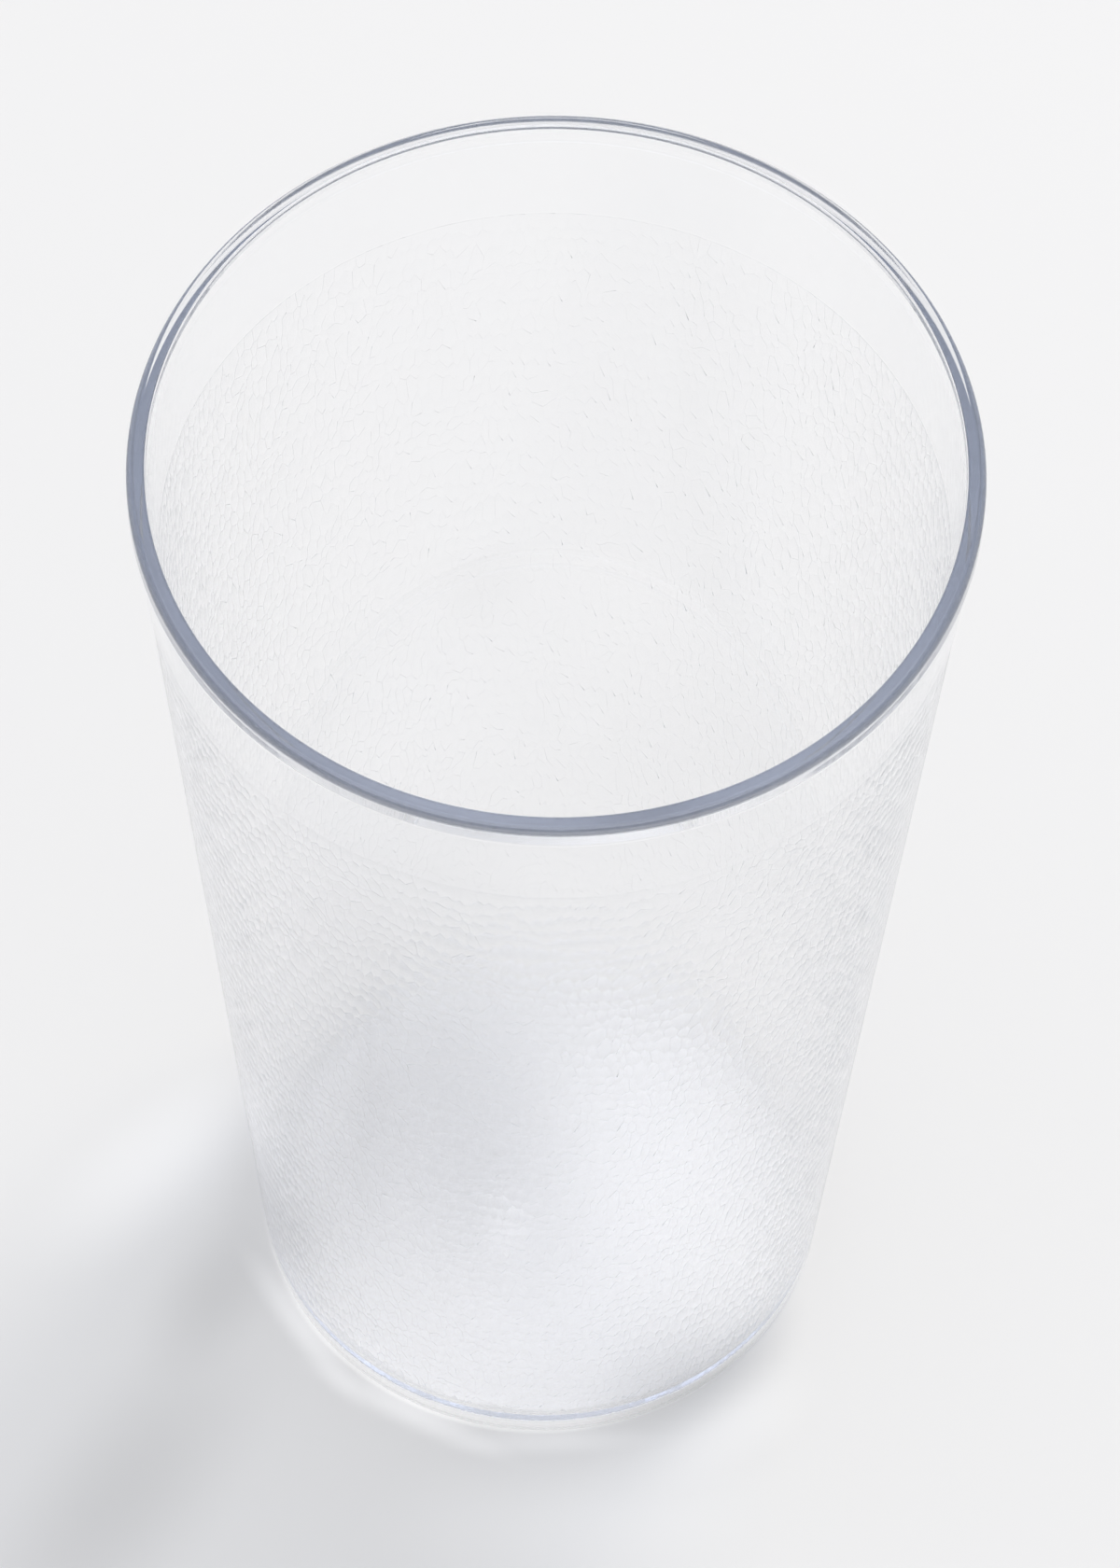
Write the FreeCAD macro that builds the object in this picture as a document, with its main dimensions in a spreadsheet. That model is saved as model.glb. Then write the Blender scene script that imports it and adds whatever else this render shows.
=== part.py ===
"""Clear plastic tumbler: one moulded piece, tapered, with a rounded rim bead and a shallow foot recess.

Millimetres. +Z is up along the cup's axis, and the origin is on the table under the middle of the foot.
The cup is one half section, drawn in the XZ plane and turned once round the axis.
"""
import FreeCAD, Part
import math
import os
import Sketcher

# Driving dimensions: alias, value in mm, meaning
SIZES = [
    ("rim_diameter", 87.3, "outside diameter over the rim bead"),
    ("cup_height", 151.0, "table to the top of the rim"),
    ("foot_diameter", 63.6, "outside diameter where the wall line meets the table"),
    ("wall_thickness", 1.6, "wall, square to its slope"),
    ("rim_overhang", 0.35, "how far the bead stands out past the wall line"),
    ("band_height", 15.0, "smooth band, from the top of the rim to the pebbled wall"),
    ("band_step", 0.15, "how far the smooth band stands out past the pebbled wall"),
    ("floor_thickness", 1.8, "plastic between the recess and the inside floor"),
    ("foot_recess", 1.5, "height of the hollow under the floor"),
    ("foot_ring_width", 2.2, "wall line to the inner edge of the foot ring, at the table"),
    ("foot_round", 0.6, "radius of the outer bottom edge"),
    ("recess_round", 1.0, "radius where the foot ring meets the underside"),
    ("inner_round", 1.0, "radius where the inside wall meets the inside floor"),
]


def make_sheet(doc):
    """The spreadsheet of driving dimensions, one named cell a row."""
    sheet = doc.addObject("Spreadsheet::Sheet", "sizes")
    for row, (alias, value, meaning) in enumerate(SIZES, start=1):
        sheet.set(f"A{row}", alias)
        sheet.set(f"B{row}", str(value))
        sheet.set(f"C{row}", meaning)
        sheet.setAlias(f"B{row}", alias)
    doc.recompute()
    return sheet


def origin_feature(body, role):
    """The body's own origin plane or axis with this role."""
    return next(item for item in body.Origin.OriginFeatures if item.Role == role)


class Section:
    """The cup's half section in the XZ plane: x is the radius and y the height."""

    def __init__(self, sketch):
        self.sketch = sketch

    def line(self, start, end, construction=False):
        points = [FreeCAD.Vector(x, y, 0) for x, y in (start, end)]
        return self.sketch.addGeometry(Part.LineSegment(*points), construction)

    def arc(self, centre, radius, from_degrees, to_degrees):
        circle = Part.Circle(FreeCAD.Vector(*centre, 0), FreeCAD.Vector(0, 0, 1), radius)
        angles = (math.radians(from_degrees), math.radians(to_degrees))
        return self.sketch.addGeometry(Part.ArcOfCircle(circle, *angles), False)

    def rule(self, kind, *places):
        return self.sketch.addConstraint(Sketcher.Constraint(kind, *places))

    def size(self, name, formula, kind, *places):
        """A dimension called name, whose value follows a formula in the sheet's sizes."""
        at = self.rule(kind, *places)
        self.sketch.renameConstraint(at, name)
        self.sketch.setExpression(f"Constraints.{name}", formula)


def draw_section(sketch, sheet):
    """Draws and constrains the half section, from the underside's middle round to the inside floor.

    START and END are a line's or arc's own ends, and arcs run anticlockwise.
    """
    START, END = 1, 2
    X_AXIS, Y_AXIS = -1, -2
    section = Section(sketch)

    # Rough places for the first drawing, which the constraints below then settle
    rim = sheet.rim_diameter / 2
    top = sheet.cup_height
    foot = sheet.foot_diameter / 2
    crown = rim - sheet.rim_overhang
    wall = sheet.wall_thickness
    lean = (crown - foot) / top
    step_z = top - sheet.band_height
    bead = (wall + sheet.rim_overhang) / 2
    recess = sheet.foot_recess
    floor = recess + sheet.floor_thickness
    ring = foot - sheet.foot_ring_width
    outer, hollow, inner = sheet.foot_round, sheet.recess_round, sheet.inner_round
    inside = foot + lean * floor - wall

    # Guide lines: the slope of the outer wall, and the rim's outermost and topmost reach
    slope = section.line((foot, 0), (crown, top), True)
    reach = section.line((rim, top - 2 * bead), (rim, top), True)
    crest = section.line((rim - 2 * bead, top), (rim, top), True)

    # The outline itself, in the order that a finger would follow it
    underside = section.line((0, recess), (ring - hollow, recess))
    recess_arc = section.arc((ring - hollow, recess - hollow), hollow, 0, 90)
    ring_side = section.line((ring, recess - hollow), (ring, 0))
    ring_flat = section.line((ring, 0), (foot - outer, 0))
    foot_arc = section.arc((foot - outer, outer), outer, -90, -math.degrees(lean))
    pebbled = section.line((foot, outer), (foot + lean * step_z, step_z))
    step = section.line((foot + lean * step_z, step_z), (foot + lean * step_z + sheet.band_step, step_z))
    band = section.line((foot + lean * step_z + sheet.band_step, step_z), (crown, top - 2 * bead))
    bead_arc = section.arc((rim - bead, top - bead), bead, -40, 180 - math.degrees(lean))
    inner_wall = section.line((rim - 2 * bead, top - bead), (inside, floor + inner))
    floor_arc = section.arc((inside - inner, floor + inner), inner, -90, -math.degrees(lean))
    inner_floor = section.line((inside - inner, floor), (0, floor))
    axis = section.line((0, floor), (0, recess))

    # Sharp joins
    section.rule("Coincident", axis, END, underside, START)
    section.rule("Coincident", ring_side, END, ring_flat, START)
    section.rule("Coincident", pebbled, END, step, START)
    section.rule("Coincident", step, END, band, START)
    section.rule("Coincident", band, END, bead_arc, START)
    section.rule("Coincident", inner_floor, END, axis, START)

    # Rounded joins
    section.rule("Tangent", underside, END, recess_arc, END)
    section.rule("Tangent", recess_arc, START, ring_side, START)
    section.rule("Tangent", ring_flat, END, foot_arc, START)
    section.rule("Tangent", foot_arc, END, pebbled, START)
    section.rule("Tangent", bead_arc, END, inner_wall, START)
    section.rule("Tangent", inner_wall, END, floor_arc, END)
    section.rule("Tangent", floor_arc, START, inner_floor, START)

    # Directions
    section.rule("PointOnObject", underside, START, Y_AXIS)
    section.rule("PointOnObject", inner_floor, END, Y_AXIS)
    section.rule("PointOnObject", ring_flat, START, X_AXIS)
    section.rule("Horizontal", underside)
    section.rule("Horizontal", inner_floor)
    section.rule("Horizontal", ring_flat)
    section.rule("Horizontal", step)
    section.rule("Vertical", ring_side)
    section.rule("PointOnObject", pebbled, END, slope)
    section.rule("Parallel", pebbled, slope)
    section.rule("Parallel", band, slope)
    section.rule("Parallel", inner_wall, slope)

    # The guide lines' own places
    section.rule("PointOnObject", slope, START, X_AXIS)
    section.rule("Vertical", reach)
    section.rule("Horizontal", crest)
    section.rule("Coincident", reach, END, crest, END)
    section.rule("Equal", reach, crest)
    section.size("foot_radius", "sizes.foot_diameter / 2", "DistanceX", X_AXIS, START, slope, START, foot)
    section.size(
        "crown_radius", "sizes.rim_diameter / 2 - sizes.rim_overhang",
        "DistanceX", X_AXIS, START, slope, END, crown,
    )
    section.size("crown_height", "sizes.cup_height", "DistanceY", X_AXIS, START, slope, END, top)
    section.size("rim_radius", "sizes.rim_diameter / 2", "DistanceX", X_AXIS, START, reach, END, rim)
    section.size("rim_height", "sizes.cup_height", "DistanceY", X_AXIS, START, reach, END, top)
    section.size("guide_length", "2 * sizes.wall_thickness", "Distance", reach, START, reach, END, 2 * wall)

    # The bead fills the corner between the rim's reach, its crest and the inner wall
    section.rule("Tangent", bead_arc, reach)
    section.rule("Tangent", bead_arc, crest)

    # Sizes of the outline
    section.size("wall", "sizes.wall_thickness", "Distance", inner_wall, START, slope, wall)
    section.size(
        "step_height", "sizes.cup_height - sizes.band_height",
        "DistanceY", X_AXIS, START, step, START, step_z,
    )
    section.size("step_width", "sizes.band_step", "DistanceX", step, START, step, END, sheet.band_step)
    section.size("recess_height", "sizes.foot_recess", "DistanceY", X_AXIS, START, underside, START, recess)
    section.size(
        "floor_height", "sizes.foot_recess + sizes.floor_thickness",
        "DistanceY", X_AXIS, START, inner_floor, END, floor,
    )
    section.size(
        "ring_radius", "sizes.foot_diameter / 2 - sizes.foot_ring_width",
        "DistanceX", X_AXIS, START, ring_flat, START, ring,
    )
    section.size("foot_rounding", "sizes.foot_round", "Radius", foot_arc, outer)
    section.size("recess_rounding", "sizes.recess_round", "Radius", recess_arc, hollow)
    section.size("inner_rounding", "sizes.inner_round", "Radius", floor_arc, inner)


def make_tumbler(doc, sheet):
    """The whole cup: its half section turned round the vertical axis."""
    body = doc.addObject("PartDesign::Body", "tumbler")
    body.Label = "tumbler"
    sketch = body.newObject("Sketcher::SketchObject", "half_section")
    sketch.AttachmentSupport = [(origin_feature(body, "XZ_Plane"), "")]
    sketch.MapMode = "FlatFace"
    doc.recompute()
    draw_section(sketch, sheet)
    doc.recompute()
    turned = body.newObject("PartDesign::Revolution", "turned_section")
    turned.Profile = sketch
    turned.ReferenceAxis = (sketch, ["V_Axis"])
    turned.Angle = 360.0
    body.Tip = turned
    body.Placement = FreeCAD.Placement()
    doc.recompute()
    return body


def check(doc, subparts):
    """Stops if an object failed to build or a sub-part's solid isn't sound."""
    for item in doc.Objects:
        if {"Invalid", "Error"} & set(item.State):
            raise RuntimeError(f"{item.Name} did not build: {item.State}")
    for item in subparts:
        shape = item.Shape
        if shape.isNull() or not shape.isValid() or len(shape.Solids) != 1:
            raise RuntimeError(f"{item.Label} is not one sound solid")


doc = FreeCAD.newDocument("plastic_tumbler")
sheet = make_sheet(doc)
subparts = [make_tumbler(doc, sheet)]
check(doc, subparts)

os.makedirs("parts", exist_ok=True)
for item in subparts:
    item.Shape.exportStep(os.path.join("parts", f"{item.Label}.step"))
    box = item.Shape.optimalBoundingBox(True, False)
    print(
        f"{item.Label}: {box.XLength:.2f} x {box.YLength:.2f} x {box.ZLength:.2f} mm,"
        f" lowest {box.ZMin:.3f}, volume {item.Shape.Volume / 1000:.2f} cm3"
    )
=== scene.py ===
# %% [markdown]
# # A clear pebbled tumbler
#
# This notebook dresses one moulded plastic cup. The real one is injected in a single shot, so here too it is
# one closed skin: a smooth inside, a rounded lip, a smooth band, thousands of small raised pebbles on the
# outer wall, and a foot. Clear plastic shows its shape only by bending light, so the mesh carries every form
# and the material adds nothing but the plastic itself.
#
# The first cell loads the frame, which holds the part's plain solids. The dressed cup has to fill the same
# box, so its rim and height are read from there.

# %% Load the fixed frame
import math

import bpy
import numpy as np
from mathutils import Matrix, Vector


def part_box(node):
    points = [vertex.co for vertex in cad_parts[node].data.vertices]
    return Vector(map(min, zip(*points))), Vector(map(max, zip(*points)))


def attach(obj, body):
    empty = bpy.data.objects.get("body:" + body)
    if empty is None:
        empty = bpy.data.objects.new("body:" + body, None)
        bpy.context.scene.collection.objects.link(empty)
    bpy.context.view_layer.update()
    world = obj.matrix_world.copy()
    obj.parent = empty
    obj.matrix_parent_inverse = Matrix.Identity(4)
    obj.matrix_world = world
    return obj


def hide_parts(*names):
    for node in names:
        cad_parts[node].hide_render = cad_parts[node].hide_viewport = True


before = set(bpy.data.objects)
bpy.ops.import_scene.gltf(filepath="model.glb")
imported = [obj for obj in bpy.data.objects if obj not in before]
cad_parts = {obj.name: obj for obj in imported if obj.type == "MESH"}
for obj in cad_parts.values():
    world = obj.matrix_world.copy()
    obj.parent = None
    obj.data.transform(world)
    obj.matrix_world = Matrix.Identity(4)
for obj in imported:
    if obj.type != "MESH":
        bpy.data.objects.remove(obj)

MM = 0.001
CUP = "tumbler"
cad_box = [list(corner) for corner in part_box(CUP)]
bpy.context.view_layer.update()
print("the frame's cup spans", [round(v / MM, 2) for corner in cad_box for v in corner], "mm")

# %% [markdown]
# ## The half section
#
# A cup is a profile turned round an axis. The profile is worked out from the same few sizes as the solid:
# a straight sloped wall, a lip that stands out past the smooth band and turns in under itself, and rounded
# corners where a mould has them. The lip's rounds catch the light from behind and draw the dark line, the
# light band and the thin grey line that run round the back of a clear rim.

# %% Sizes of the section, in metres
RIM_RADIUS = cad_box[1][0]
HEIGHT = cad_box[1][2]
FOOT_RADIUS = 31.8 * MM
WALL = 1.6 * MM
OVERHANG = 0.35 * MM
BAND_HEIGHT = 15.0 * MM
BAND_STEP = 0.15 * MM
FLOOR_THICKNESS = 1.8 * MM
RECESS = 1.5 * MM
RING_WIDTH = 2.2 * MM
FOOT_ROUND = 0.6 * MM
RECESS_ROUND = 1.0 * MM
INNER_ROUND = 1.0 * MM
# The lip's own shape: its depth down the outside, and its outer, inner and lower rounds
LIP_DEPTH = 4.3 * MM
LIP_OUTER_ROUND = 0.85 * MM
LIP_INNER_ROUND = 0.35 * MM
LIP_LOWER_ROUND = 2.0 * MM

LEAN = (RIM_RADIUS - OVERHANG - FOOT_RADIUS) / HEIGHT
STRETCH = math.hypot(1, LEAN)
DRAFT = math.degrees(math.atan(LEAN))
STEP_Z = HEIGHT - BAND_HEIGHT
FLOOR_Z = RECESS + FLOOR_THICKNESS
print(f"the wall leans {DRAFT:.2f} degrees outwards")


# %% [markdown]
# The section is a chain of straight pieces and arcs, as a draughtsman would draw it. Each piece gives its
# points and also its exact outward direction at both ends of every step. Blender could guess these
# directions from the faces, but a guess shows as faint rings in clear plastic.


# %% Wall line, straight pieces, arcs and the chain
def wall_line(z, inset=0.0):
    """Radius of the sloped wall line at height z, moved inwards, square to the slope, by inset."""
    return FOOT_RADIUS + LEAN * z - inset * STRETCH


def line(start, end):
    """A straight piece of the section, from start to end, with its outward direction at both.

    The plastic lies to the left of the way along the section, so outwards is to the right.
    """
    ends = np.array([start, end])
    along = (ends[1] - ends[0]) / np.linalg.norm(ends[1] - ends[0])
    return ends, np.tile((along[1], -along[0]), (2, 1))


def arc(centre, radius, start, end, count):
    """A round piece about centre, from start to end in degrees, evenly spaced.

    Outwards is away from the centre where the arc runs anticlockwise, and towards it otherwise.
    """
    angle = np.radians(np.linspace(start, end, count))
    spokes = np.stack([np.cos(angle), np.sin(angle)], -1)
    return centre + radius * spokes, spokes * np.sign(end - start)


def chain(*pieces):
    """Joins pieces end to end: the points, and the outward directions at each step's start and end."""
    places = np.concatenate([place[:-1] for place, _ in pieces] + [pieces[-1][0][-1:]])
    starts = np.concatenate([outward[:-1] for _, outward in pieces])
    ends = np.concatenate([outward[1:] for _, outward in pieces])
    return places, starts, ends


# %% The section, from the recess round the foot, and from the band over the lip to the inside floor
lip_top_centre = (RIM_RADIUS - LIP_OUTER_ROUND, HEIGHT - LIP_OUTER_ROUND)
lip_inner_centre = (wall_line(HEIGHT - LIP_INNER_ROUND, WALL - LIP_INNER_ROUND), HEIGHT - LIP_INNER_ROUND)
lip_low_centre = (RIM_RADIUS - LIP_LOWER_ROUND, HEIGHT - LIP_DEPTH + LIP_LOWER_ROUND)
band_offset = (wall_line(lip_low_centre[1]) + BAND_STEP - lip_low_centre[0]) / STRETCH
lip_start = -DRAFT - math.degrees(math.acos(band_offset / LIP_LOWER_ROUND))
foot_centre = (wall_line(FOOT_ROUND, FOOT_ROUND), FOOT_ROUND)
inner_centre = (wall_line(FLOOR_Z + INNER_ROUND, WALL + INNER_ROUND), FLOOR_Z + INNER_ROUND)
ring_inside = FOOT_RADIUS - RING_WIDTH
recess_centre = (ring_inside - RECESS_ROUND, RECESS - RECESS_ROUND)

lip_low_arc = arc(lip_low_centre, LIP_LOWER_ROUND, lip_start, 0, 8)
lip_top_arc = arc(lip_top_centre, LIP_OUTER_ROUND, 0, 90, 10)
lip_inner_arc = arc(lip_inner_centre, LIP_INNER_ROUND, 90, 180 - DRAFT, 8)
inner_arc = arc(inner_centre, INNER_ROUND, -DRAFT, -90, 7)
recess_arc = arc(recess_centre, RECESS_ROUND, 90, 0, 5)
foot_arc = arc(foot_centre, FOOT_ROUND, -90, -DRAFT, 6)
foot_edge = [part[:-1] for part in foot_arc]
band_foot = (wall_line(STEP_Z) + BAND_STEP, STEP_Z + BAND_STEP)

under_chain = chain(
    line((ring_inside * 0.5, RECESS), recess_arc[0][0]),
    recess_arc,
    line(recess_arc[0][-1], (ring_inside, 0.0)),
    line((ring_inside, 0.0), foot_arc[0][0]),
    foot_edge,
)
upper_chain = chain(
    line(band_foot, lip_low_arc[0][0]),
    lip_low_arc,
    line(lip_low_arc[0][-1], lip_top_arc[0][0]),
    lip_top_arc,
    line(lip_top_arc[0][-1], lip_inner_arc[0][0]),
    lip_inner_arc,
    line(lip_inner_arc[0][-1], inner_arc[0][0]),
    inner_arc,
    line(inner_arc[0][-1], (inner_centre[0] * 0.5, FLOOR_Z)),
)
PEBBLES_FROM = foot_arc[0][-1][1]
lip_start_z = lip_low_arc[0][0][1]
print(f"the lip is {(HEIGHT - lip_start_z) / MM:.2f} mm deep")
print(f"the pebbles run from {PEBBLES_FROM / MM:.2f} to {STEP_Z / MM:.1f} mm")

# %% [markdown]
# ## The pebbled wall
#
# The texture is a field of small flat-topped pebbles with thin channels between them, no two alike. A
# picture of bumps wouldn't bend light at its edges, so the pebbles are modelled. They start as a honeycomb
# wrapped round the cone. Each cell has a random place and a random size, and each corner of the net is the
# mean of the three cells that meet there, so the net stays whole whatever the draws say. Inside each cell a
# six-sided ring, pulled in from the net by an uneven margin, is raised to make the pebble's top.

# %% The honeycomb net
COLUMNS = 200
ROWS = 55
PEBBLE_HEIGHT = 0.012 * MM
random = np.random.default_rng(41)
# Each cell is two half steps wide
HALF_STEPS = 2 * COLUMNS
row_pitch = (STEP_Z - PEBBLES_FROM) / ROWS
half_angle = 2 * math.pi / HALF_STEPS
mean_radius = wall_line(STEP_Z / 2)
print(f"cells {2 * half_angle * mean_radius / MM:.2f} mm wide, rows {row_pitch / MM:.2f} mm apart")

row = np.arange(ROWS)[:, None]
column = np.arange(COLUMNS)[None, :]
seed_step = 2 * column + row % 2
PLACE_SPREAD = 0.42
SIZE_SPREAD = 0.38
JOINED_SHARE = 0.2
seed_shift = random.uniform(-PLACE_SPREAD, PLACE_SPREAD, (ROWS, COLUMNS, 2)) * (2, 1)
seed_pull = np.exp(random.normal(0, SIZE_SPREAD, (ROWS, COLUMNS)))


def corner_net():
    """Corners of the net, as (half steps round, height in rows), one zigzag of 2 x COLUMNS for each row edge.

    A corner is the weighted mean of its three cells' centres. The lowest and highest zigzags are level rings.
    """
    net = np.zeros((ROWS + 1, HALF_STEPS, 2))
    step = np.arange(HALF_STEPS)
    net[..., 0] = step
    net[..., 1] = np.arange(ROWS + 1)[:, None]
    for edge in range(1, ROWS):
        above, below = edge, edge - 1
        total = np.zeros((HALF_STEPS, 2))
        weight = np.zeros(HALF_STEPS)
        for cells, height in ((above, 0.5), (below, -0.5)):
            own = step % 2 == cells % 2
            for turn in (-1, 0, 1):
                used = own if turn == 0 else ~own
                cell = ((step + turn - cells % 2) // 2) % COLUMNS
                pull = np.where(used, seed_pull[cells, cell], 0)
                place = seed_shift[cells, cell] + (turn, height)
                total += pull[:, None] * place
                weight += pull
        net[edge] += total / weight[:, None]
    return net


# The ripples' number, reach in cells, most waves round the cup, and most waves a row
WAVES = 24
WAVE_REACH = 0.07
WAVE_TURNS = 28
WAVE_CLIMB = 0.2
# Rows over which the ripples die out at the foot and at the band
CALM_ROWS = 3


def meander(net):
    """Bends the rows: a sum of random ripples, each WAVE_REACH of a cell high, that die out at both edges."""
    turns = random.integers(-WAVE_TURNS, WAVE_TURNS + 1, (WAVES, 1, 1))
    climbs = random.uniform(-WAVE_CLIMB, WAVE_CLIMB, (WAVES, 1, 1))
    phase = random.uniform(0, 2 * math.pi, (WAVES, 1, 1))
    way = random.normal(0, 1, (WAVES, 1, 1, 2))
    step, height = net[None, ..., 0], net[None, ..., 1]
    ripple = np.sin(2 * math.pi * (turns * step / HALF_STEPS + climbs * height) + phase)
    fade = np.clip(np.minimum(height, ROWS - height) / CALM_ROWS, 0, 1)
    return net + (way * (ripple * fade)[..., None]).sum(0) * WAVE_REACH * (2, 1)


net = meander(corner_net())

# %% [markdown]
# A pebble is a raised flat top with steep sides. Its outline is the cell's, its top is the same outline drawn
# in by an uneven margin, and six four-sided faces join the two. Here and there a corner of the net is raised
# too, so that neighbours run together, as they do on a real mould that was etched.

# %% The pebbles' outlines and tops
RING = 6
# No corner moves more than this share of the way to the middle of its cell
MOST_PULL = 0.6
LEAST_MARGIN, MOST_MARGIN = 0.05 * MM, 0.16 * MM

corner_rows = np.stack([row, row, row + 1, row + 1, row + 1, row], -1) + 0 * column[..., None]
corner_steps = seed_step[..., None] + np.array([0, 1, 1, 0, -1, -1])
corner_ids = corner_rows * HALF_STEPS + corner_steps % HALF_STEPS
corners = net[corner_rows, corner_steps % HALF_STEPS]
corners[..., 0] += corner_steps - corner_steps % HALF_STEPS
print("net corners", net[..., 0].size, "cells", ROWS * COLUMNS)


def cone_point(steps, rows, raised):
    """Point of the wall cone: steps turns it round the axis, rows lifts it, and raised moves it outwards."""
    z = PEBBLES_FROM + rows * row_pitch
    radius = wall_line(z) + raised
    angle = steps * half_angle
    return np.stack([radius * np.cos(angle), radius * np.sin(angle), z], -1)


middle = corners.mean(2, keepdims=True)
scale = np.stack([half_angle * wall_line(PEBBLES_FROM + (row + 0.5) * row_pitch), 0 * row + row_pitch], -1)
towards = (middle - corners) * scale[:, :, None]
reach = np.linalg.norm(towards, axis=-1, keepdims=True)
margin = random.uniform(LEAST_MARGIN, MOST_MARGIN, corners.shape[:3])[..., None]
ring = corners + (middle - corners) * np.minimum(margin / reach, MOST_PULL)

joined = random.random(net.shape[:2]) < JOINED_SHARE
joined[0] = joined[-1] = False
net_points = cone_point(net[..., 0], net[..., 1], np.where(joined, PEBBLE_HEIGHT, 0.0)).reshape(-1, 3)
ring_points = cone_point(ring[..., 0], ring[..., 1], PEBBLE_HEIGHT).reshape(-1, 3)
ring_ids = len(net_points) + np.arange(ring[..., 0].size).reshape(ROWS, COLUMNS, RING)

# %% The pebbles' faces
# Each name is a corner c of the cell's outline or a point r of its ring, in order round the face
SIDES = ["c0 c1 r1 r0", "c1 c2 r2 r1", "c2 c3 r3 r2", "c3 c4 r4 r3", "c4 c5 r5 r4", "c5 c0 r0 r5"]


def cell_faces(patterns):
    """One face of each cell for each pattern, as point numbers."""
    kinds = {"c": corner_ids, "r": ring_ids}
    faces = [np.stack([kinds[name[0]][..., int(name[1])] for name in text.split()], -1) for text in patterns]
    return np.stack(faces, 2).reshape(-1, len(patterns[0].split()))


side_faces, top_faces = cell_faces(SIDES), ring_ids.reshape(-1, RING)
print("pebble triangles", 2 * len(side_faces) + (RING - 2) * len(top_faces))

# %% [markdown]
# ## Turning the smooth parts
#
# Everything that isn't pebbled is a turned surface: rings of points, one for each point of the section. Two
# short strips of triangles join the smooth rings to the net's level edges, which have twice as many points,
# and a fan closes each end on the axis. The result is one watertight skin.
#
# Clear plastic shows every wrong turn of a surface, so each corner of each face also gets its exact outward
# direction, from the section's own lines and arcs. A pebble's top has the cone's direction, and its sides
# fall steeply at the top's edge and level out at the bottom of the channel, as moulded relief does.


# %% Rings, strips and fans
def turned(section):
    """Rings of points: each (radius, height) of the section carried round the axis in COLUMNS steps."""
    angle = np.arange(COLUMNS) * 2 * half_angle
    around = np.stack([np.cos(angle), np.sin(angle)], -1)
    flat = section[:, :1, None] * around
    return np.concatenate([flat, np.broadcast_to(section[:, 1, None, None], flat.shape[:2] + (1,))], -1)


def strips(ids):
    """Four-sided faces between each ring of point numbers and the next."""
    low, high = ids[:-1], ids[1:]
    return np.stack([low, np.roll(low, -1, 1), np.roll(high, -1, 1), high], -1).reshape(-1, 4)


def strip_facing(starts, ends):
    """Outward directions at the corners of strips' faces."""
    low, high = turned(starts), turned(ends)
    return np.stack([low, np.roll(low, -1, 1), np.roll(high, -1, 1), high], 2).reshape(-1, 4, 3)


def seam(coarse, fine, fine_above):
    """Triangles between a ring of COLUMNS points and a level edge of the net, which has twice as many."""
    next_coarse = np.roll(coarse, -1)
    even, odd = fine[0::2], fine[1::2]
    next_even = np.roll(even, -1)
    faces = np.concatenate([
        np.stack([coarse, next_coarse, odd], -1),
        np.stack([coarse, odd, even], -1),
        np.stack([next_coarse, next_even, odd], -1),
    ])
    return faces if fine_above else faces[:, ::-1]


def facing(places, outward):
    """The section's outward direction, carried round the axis to each of these places."""
    around = places[..., :2] / np.linalg.norm(places[..., :2], axis=-1, keepdims=True)
    return np.concatenate([around * outward[0], np.full(places.shape[:-1] + (1,), outward[1])], -1)


def level_facing(faces, upwards):
    """Straight up or down at every corner."""
    return np.broadcast_to((0.0, 0.0, upwards), faces.shape + (3,))


WALL_FACING = (1 / STRETCH, -LEAN / STRETCH)
under_section, upper_section = under_chain[0], upper_chain[0]
under_ids = len(net_points) + len(ring_points) + np.arange(len(under_section) * COLUMNS).reshape(-1, COLUMNS)
upper_ids = under_ids.max() + 1 + np.arange(len(upper_section) * COLUMNS).reshape(-1, COLUMNS)
under_pole = upper_ids.max() + 1
inside_pole = under_pole + 1
points = np.concatenate([
    net_points, ring_points,
    turned(under_section).reshape(-1, 3), turned(upper_section).reshape(-1, 3),
    [(0, 0, RECESS), (0, 0, FLOOR_Z)],
])

foot_seam = seam(under_ids[-1], np.arange(HALF_STEPS), True)
on_net = (foot_seam < len(net_points))[..., None]
foot_places = points[foot_seam]
foot_facing = np.where(on_net, facing(foot_places, WALL_FACING), facing(foot_places, foot_arc[1][-2]))
ledge = seam(upper_ids[0], ROWS * HALF_STEPS + np.arange(HALF_STEPS), False)
# The little ledge under the smooth band faces out and a little down
LEDGE_TILT = math.radians(13)
LEDGE_FACING = (math.cos(LEDGE_TILT), -math.sin(LEDGE_TILT))
under_fan = np.stack([np.roll(under_ids[0], -1), under_ids[0], np.full(COLUMNS, under_pole)], -1)
inside_fan = np.stack([upper_ids[-1], np.roll(upper_ids[-1], -1), np.full(COLUMNS, inside_pole)], -1)


# %% The pebbles' own directions
# How far a pebble's top leans outwards at its corners, as a slope
DOME = math.tan(math.radians(1.0))


def relief_facing(faces):
    """Directions on a pebble's sides: the face's own at the top's edge, the cone's down in the channel."""
    corner = points[faces]
    across = np.cross(corner[:, 1] - corner[:, 0], corner[:, -1] - corner[:, 0])
    across /= np.linalg.norm(across, axis=-1, keepdims=True)
    in_channel = (faces < len(net_points))[..., None]
    return np.where(in_channel, facing(corner, WALL_FACING), across[:, None])


def dome_facing(faces):
    """Directions on a pebble's top: the cone's, tipped away from its middle, more at its far corners."""
    corner = points[faces]
    from_middle = corner - corner.mean(1, keepdims=True)
    reach = np.linalg.norm(from_middle, axis=-1, keepdims=True).mean(1, keepdims=True)
    tipped = facing(corner, WALL_FACING) + DOME * from_middle / reach
    return tipped / np.linalg.norm(tipped, axis=-1, keepdims=True)


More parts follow.
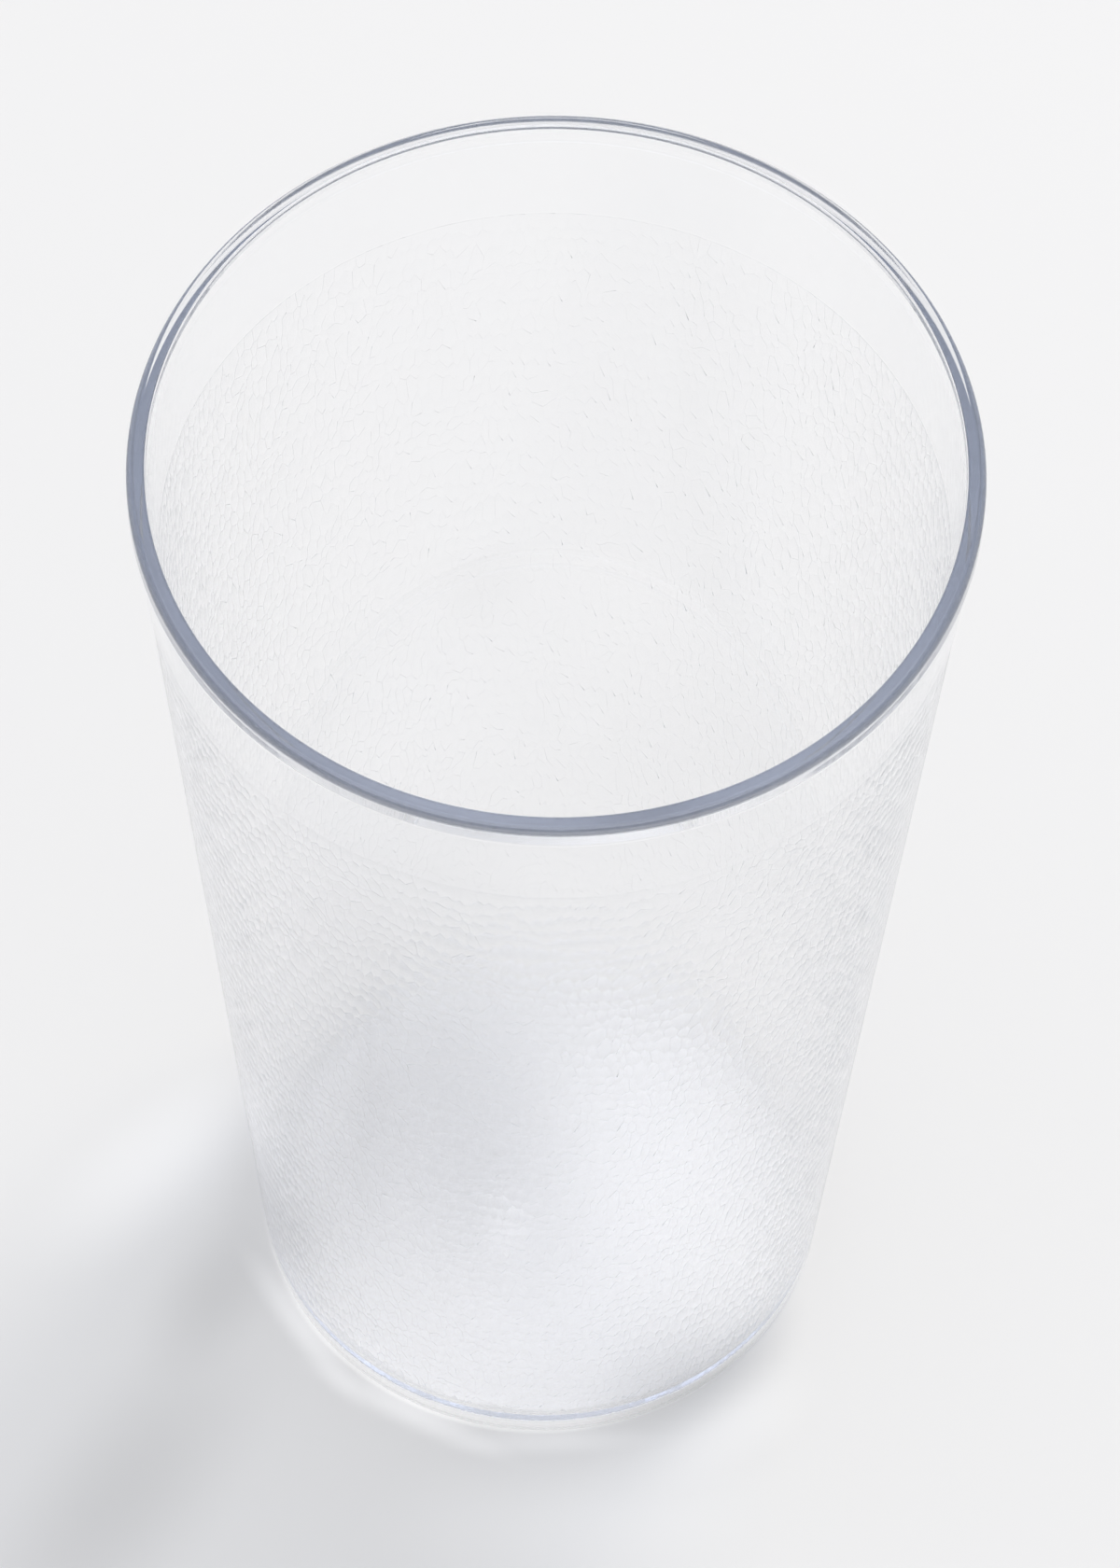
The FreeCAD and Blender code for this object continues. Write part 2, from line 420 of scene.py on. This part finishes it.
# %% [markdown]
# All groups of faces share one array of points, so the skin is closed by its numbering and no points have to
# be merged. The outward directions go in as custom normals, one for each corner of each face.


# %% Put the skin together
def skin(name, points, groups):
    """A mesh object from an array of points and groups of (faces, outward directions at their corners)."""
    mesh = bpy.data.meshes.new(name)
    sizes = np.concatenate([np.full(len(faces), faces.shape[1]) for faces, _ in groups])
    loops = np.concatenate([faces.ravel() for faces, _ in groups])
    mesh.vertices.add(len(points))
    mesh.vertices.foreach_set("co", points.astype(np.float32).ravel())
    mesh.loops.add(len(loops))
    mesh.loops.foreach_set("vertex_index", loops.astype(np.int32))
    mesh.polygons.add(len(sizes))
    mesh.polygons.foreach_set("loop_start", (np.cumsum(sizes) - sizes).astype(np.int32))
    mesh.update(calc_edges=True)
    mesh.normals_split_custom_set(np.concatenate([out.reshape(-1, 3) for _, out in groups]).tolist())
    piece = bpy.data.objects.new(name, mesh)
    bpy.context.scene.collection.objects.link(piece)
    return piece


groups = [
    (side_faces, relief_facing(side_faces)),
    (top_faces, dome_facing(top_faces)),
    (strips(under_ids), strip_facing(*under_chain[1:])),
    (strips(upper_ids), strip_facing(*upper_chain[1:])),
    (foot_seam, foot_facing),
    (ledge, facing(points[ledge], LEDGE_FACING)),
    (under_fan, level_facing(under_fan, -1.0)),
    (inside_fan, level_facing(inside_fan, 1.0)),
]
cup = skin("pebbled_tumbler", points, groups)
triangles = sum(len(faces) * (faces.shape[1] - 2) for faces, _ in groups)
print("cup has", triangles, "triangles and", len(points), "points")

# %% [markdown]
# ## The plastic
#
# Clear styrene plastic bends light more than water and a little more than window glass. A faint cool tint
# lies in its depth, so it shows only where light travels far inside it, as it does round the rim. The inside,
# the lip and the band are polished, and the pebbles are a little dull.
#
# Lamps reach the floor through the plastic by a straight way, dimmed by what each surface mirrors, which is
# strongest where the wall is seen edge on: that gives the soft shadow its darker outline. The other way,
# tracing each bent ray from the lamp, would need far more samples.


# %% Clear plastic
POLISHED = 0.0
PEBBLED = 0.11
BENDS = 1.57
TINT = (0.50, 0.56, 0.69, 1)
TINT_DENSITY = 11.0
# Pairs of the share that a surface mirrors and the share of lamp light that it then passes
WINDOW = [(0.06, 1.0), (0.13, 0.80), (0.22, 0.82), (0.45, 0.98)]


def clear_plastic():
    """Glass-like plastic for all that looks at it, and a dimmed window for the light on other things."""
    material = bpy.data.materials.new("clear_plastic")
    material.use_nodes = True
    nodes, links = material.node_tree.nodes, material.node_tree.links
    output = nodes["Material Output"]
    plastic = nodes["Principled BSDF"]
    plastic.inputs["Base Color"].default_value = (1.0, 1.0, 1.0, 1)
    plastic.inputs["IOR"].default_value = BENDS
    plastic.inputs["Transmission Weight"].default_value = 1.0
    dullness = nodes.new("ShaderNodeAttribute")
    dullness.attribute_name = "finish"
    links.new(dullness.outputs["Fac"], plastic.inputs["Roughness"])

    tint = nodes.new("ShaderNodeVolumeAbsorption")
    tint.inputs["Color"].default_value = TINT
    tint.inputs["Density"].default_value = TINT_DENSITY
    links.new(tint.outputs[0], output.inputs["Volume"])

    # What a surface mirrors, from either side: the Fresnel node turns the index round on back faces
    side = nodes.new("ShaderNodeNewGeometry")
    sign = nodes.new("ShaderNodeMath")
    sign.operation = "MULTIPLY_ADD"
    sign.inputs[1].default_value = -2.0
    sign.inputs[2].default_value = 1.0
    index = nodes.new("ShaderNodeMath")
    index.operation = "POWER"
    index.inputs[0].default_value = BENDS
    mirrored = nodes.new("ShaderNodeFresnel")
    shade = nodes.new("ShaderNodeValToRGB")
    passes = shade.color_ramp
    for _ in range(len(WINDOW) - 2):
        passes.elements.new(0.5)
    for element, (mirror_share, passed) in zip(passes.elements, WINDOW):
        element.position = mirror_share
        element.color = (passed, passed, passed, 1)
    window = nodes.new("ShaderNodeBsdfTransparent")
    links.new(side.outputs["Backfacing"], sign.inputs[0])
    links.new(sign.outputs[0], index.inputs[1])
    links.new(index.outputs[0], mirrored.inputs["IOR"])
    links.new(mirrored.outputs[0], shade.inputs[0])
    links.new(shade.outputs[0], window.inputs["Color"])

    ray = nodes.new("ShaderNodeLightPath")
    either = nodes.new("ShaderNodeMath")
    either.operation = "MAXIMUM"
    mix = nodes.new("ShaderNodeMixShader")
    links.new(ray.outputs["Is Shadow Ray"], either.inputs[0])
    links.new(ray.outputs["Is Diffuse Ray"], either.inputs[1])
    links.new(either.outputs[0], mix.inputs[0])
    links.new(plastic.outputs[0], mix.inputs[1])
    links.new(window.outputs[0], mix.inputs[2])
    links.new(mix.outputs[0], output.inputs["Surface"])
    return material


# %% Dress the cup and hand it to the frame
pebbled_faces = len(side_faces) + len(top_faces)
finish = np.full(len(cup.data.polygons), POLISHED)
finish[:pebbled_faces] = PEBBLED
cup.data.attributes.new("finish", "FLOAT", "FACE").data.foreach_set("value", finish)
cup.data.materials.append(clear_plastic())
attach(cup, "root")
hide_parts(CUP)
print("pebbled faces", pebbled_faces, "of", len(finish))

# %% [markdown]
# ## The table
#
# The cup stands on a plain white table. A cup's walls gather the light that crosses them: some lands inside
# the foot, some in a bright crescent beside it, and a darker streak is left between. A render with few
# samples can't trace that light, so it is painted into the table's colour as soft oval patches that stay put:
# painted light inside the foot and in the crescent, and painted shade in the streak and across the cup's
# shadow.

# %% Table
TABLE_COLOUR = 0.80
TABLE_HALF_SIDE = 4.0
# The share of that colour that the camera sees, so that the table comes out a pale white
SEEN_SHARE = 0.985
# Each patch of painted light (a gain above nought) or painted shade (a gain below nought): its middle (x, y)
# and two radii in mm, its turn in degrees, the share of the radius that fades, and its gain
PAINTED_LIGHT_AND_SHADE = [
    ((0, 0), (33.0, 33.0), 0, 0.60, 0.08),
    ((-1.3, -2.2), (34.0, 34.0), 0, 0.20, 0.11),
    ((14, 4), (21, 27), 0, 0.8, 0.15),
    ((-16, 18), (17, 13), 40, 1.0, -0.08),
    ((-13, 7), (29, 31), 0, 1.0, -0.24),
    ((-3.6, -4.9), (5.0, 5.0), 0, 1.0, 0.19),
    ((17, -23), (17, 9), 35, 1.0, -0.30),
    ((21, -31), (15, 6.5), 35, 1.0, 0.08),
    ((-47, -42), (34, 13), 58, 1.0, -0.14),
    ((-37, -15), (15, 8), 60, 1.0, -0.12),
    ((-43, 2), (24, 10), 42, 1.0, 0.12),
    ((4, -42), (26, 13), 10, 1.0, 0.12),
    ((-27.0, -18.9), (15, 2.6), -55, 1.0, 0.20),
    ((-14.2, -29.7), (16, 2.6), -26, 1.0, 0.20),
    ((2.0, -33.0), (15, 2.3), 4, 1.0, 0.12),
]


def table():
    """A wide pale floor, well past the picture's edges, with the cup's gathered light and its shade painted
    into its colour.
    """
    corners = np.array([(-1, -1, 0), (1, -1, 0), (1, 1, 0), (-1, 1, 0)]) * TABLE_HALF_SIDE
    face = np.array([[0, 1, 2, 3]])
    floor = skin("table", corners, [(face, level_facing(face, 1.0))])
    material = bpy.data.materials.new("white_table")
    material.use_nodes = True
    nodes, links = material.node_tree.nodes, material.node_tree.links
    paint = nodes["Principled BSDF"]
    paint.inputs["Roughness"].default_value = 0.6
    place = nodes.new("ShaderNodeTexCoord")
    total = None
    # Each oval adds its painted light to the table's colour, or takes its painted shade away from it
    for middle, radii, turn, soft, gain in PAINTED_LIGHT_AND_SHADE:
        oval = nodes.new("ShaderNodeMapping")
        oval.vector_type = "TEXTURE"
        oval.inputs["Location"].default_value = (middle[0] * MM, middle[1] * MM, 0)
        oval.inputs["Rotation"].default_value = (0, 0, math.radians(turn))
        oval.inputs["Scale"].default_value = (radii[0] * MM, radii[1] * MM, 1)
        distance = nodes.new("ShaderNodeVectorMath")
        distance.operation = "LENGTH"
        patch = nodes.new("ShaderNodeMapRange")
        patch.interpolation_type = "SMOOTHSTEP"
        patch.inputs["From Min"].default_value = 1.0
        patch.inputs["From Max"].default_value = 1.0 - soft
        patch.inputs["To Max"].default_value = gain * TABLE_COLOUR
        gather = nodes.new("ShaderNodeMath")
        links.new(place.outputs["Object"], oval.inputs["Vector"])
        links.new(oval.outputs[0], distance.inputs[0])
        links.new(distance.outputs["Value"], patch.inputs["Value"])
        links.new(patch.outputs[0], gather.inputs[0])
        if total is None:
            gather.inputs[1].default_value = TABLE_COLOUR
        else:
            links.new(total.outputs[0], gather.inputs[1])
        total = gather
    ray = nodes.new("ShaderNodeLightPath")
    seen = nodes.new("ShaderNodeMapRange")
    seen.inputs["To Min"].default_value = 1.0
    seen.inputs["To Max"].default_value = SEEN_SHARE
    shown = nodes.new("ShaderNodeMath")
    shown.operation = "MULTIPLY"
    links.new(ray.outputs["Is Camera Ray"], seen.inputs["Value"])
    links.new(total.outputs[0], shown.inputs[0])
    links.new(seen.outputs[0], shown.inputs[1])
    links.new(shown.outputs[0], paint.inputs["Base Color"])
    floor.data.materials.append(material)
    return floor


table()
print("light patches on the table", len(PAINTED_LIGHT_AND_SHADE))

# %% [markdown]
# ## Lamps and surroundings
#
# One soft lamp stands high behind the cup on the right, so the shadow falls towards the lower left. Clear
# things show mostly what is around them, so the world is a plain gradient: pale near the floor and greyer
# overhead, which draws the rim as a blue-grey line. The lamp itself doesn't show in the plastic, and a soft
# overhead panel, which only mirrors show, takes its place along the top of the lip.

# %% Lamp and world
LAMP_COLOUR = (1.0, 0.968, 0.905)
# The sky's height (the upward part of a direction) and colour, low and high
SKY_LOW, LOW_COLOUR = 0.3, (0.86, 0.87, 0.88, 1)
SKY_HIGH, HIGH_COLOUR = 0.6, (0.37, 0.39, 0.447, 1)


def lamp(name, azimuth, elevation, distance, size, power):
    """A round soft lamp that faces the cup's middle, placed by its direction and distance."""
    light = bpy.data.lights.new(name, "AREA")
    light.shape = "DISK"
    light.size = size
    light.color = LAMP_COLOUR
    light.energy = power
    holder = bpy.data.objects.new(name, light)
    bpy.context.scene.collection.objects.link(holder)
    turn, rise = math.radians(azimuth), math.radians(elevation)
    way = Vector((math.cos(turn) * math.cos(rise), math.sin(turn) * math.cos(rise), math.sin(rise)))
    centre = Vector((0, 0, HEIGHT / 2))
    holder.location = centre + way * distance
    holder.rotation_euler = way.to_track_quat("Z", "Y").to_euler()
    holder.visible_glossy = False
    holder.visible_transmission = False
    return holder


lamp("key_lamp", azimuth=53, elevation=69, distance=3.0, size=0.64, power=66)

world = bpy.data.worlds.new("studio")
bpy.context.scene.world = world
world.use_nodes = True
nodes, links = world.node_tree.nodes, world.node_tree.links
direction = nodes.new("ShaderNodeTexCoord")
split = nodes.new("ShaderNodeSeparateXYZ")
sky = nodes.new("ShaderNodeValToRGB")
sky.color_ramp.elements[0].position = SKY_LOW
sky.color_ramp.elements[0].color = LOW_COLOUR
sky.color_ramp.elements[1].position = SKY_HIGH
sky.color_ramp.elements[1].color = HIGH_COLOUR
links.new(direction.outputs["Generated"], split.inputs[0])
links.new(split.outputs["Z"], sky.inputs[0])
links.new(sky.outputs[0], nodes["Background"].inputs["Color"])

# %% The overhead panel
# The panel, which shows in mirror reflections alone: where it begins, and its strength over the sky
PANEL_FROM, PANEL_FULL = 0.80, 0.90
PANEL_STRENGTH = 4.0
ray = nodes.new("ShaderNodeLightPath")
panel = nodes.new("ShaderNodeMapRange")
panel.interpolation_type = "SMOOTHSTEP"
panel.inputs["From Min"].default_value = PANEL_FROM
panel.inputs["From Max"].default_value = PANEL_FULL
mirrored_panel = nodes.new("ShaderNodeMath")
mirrored_panel.operation = "MULTIPLY"
strength = nodes.new("ShaderNodeMath")
strength.operation = "MULTIPLY_ADD"
strength.inputs[1].default_value = PANEL_STRENGTH
strength.inputs[2].default_value = 1.0
links.new(split.outputs["Z"], panel.inputs["Value"])
links.new(panel.outputs[0], mirrored_panel.inputs[0])
links.new(ray.outputs["Is Glossy Ray"], mirrored_panel.inputs[1])
links.new(mirrored_panel.outputs[0], strength.inputs[0])
links.new(strength.outputs[0], nodes["Background"].inputs["Strength"])
print("the panel is up to", PANEL_STRENGTH + 1, "times as bright as the sky")

# %% [markdown]
# ## The camera
#
# The photo was taken from high in front with a long lens. The camera first looks straight at the middle of
# the foot, and three small turns then bring the cup to its place in the frame. Light is guided far down
# inside the wall, so it needs many bounces, or the rim turns black.

# %% Camera
CAMERA_DISTANCE = 1098.1 * MM
CAMERA_RISE = math.radians(61.05)
CAMERA_PAN = math.radians(0.062)
CAMERA_TILT = math.radians(2.410)
CAMERA_ROLL = math.radians(-1.227)
LENS = 219.34
SENSOR = 36.0


def turn_pair(a, b, angle):
    """Two axes turned by angle in their own plane."""
    return a * math.cos(angle) - b * math.sin(angle), a * math.sin(angle) + b * math.cos(angle)


right = np.array([1.0, 0.0, 0.0])
up = np.array([0.0, math.sin(CAMERA_RISE), math.cos(CAMERA_RISE)])
ahead = np.array([0.0, math.cos(CAMERA_RISE), -math.sin(CAMERA_RISE)])
place = -ahead * CAMERA_DISTANCE
right, ahead = turn_pair(right, ahead, CAMERA_PAN)
up, ahead = turn_pair(up, ahead, CAMERA_TILT)
right, up = turn_pair(right, up, CAMERA_ROLL)

camera = bpy.data.objects.new("camera", bpy.data.cameras.new("camera"))
bpy.context.scene.collection.objects.link(camera)
camera.data.sensor_width = SENSOR
camera.data.lens = LENS
camera.data.clip_start = 0.01
pose = np.eye(4)
pose[:3] = np.stack([right, up, -ahead, place], 1)
camera.matrix_world = Matrix(pose)
bpy.context.scene.camera = camera
bpy.context.scene.cycles.max_bounces = 128
bpy.context.scene.cycles.transmission_bounces = 128
bpy.context.scene.cycles.glossy_bounces = 64
bpy.context.scene.view_settings.view_transform = "Standard"
print("the camera is at", [round(float(v), 3) for v in place], "m")

# %% [markdown]
# ## Sizes, and the end
#
# The box of the solids and the box of the dressed cup are written side by side, so that a change of size
# would show at once.

# %% The end
bpy.context.view_layer.update()
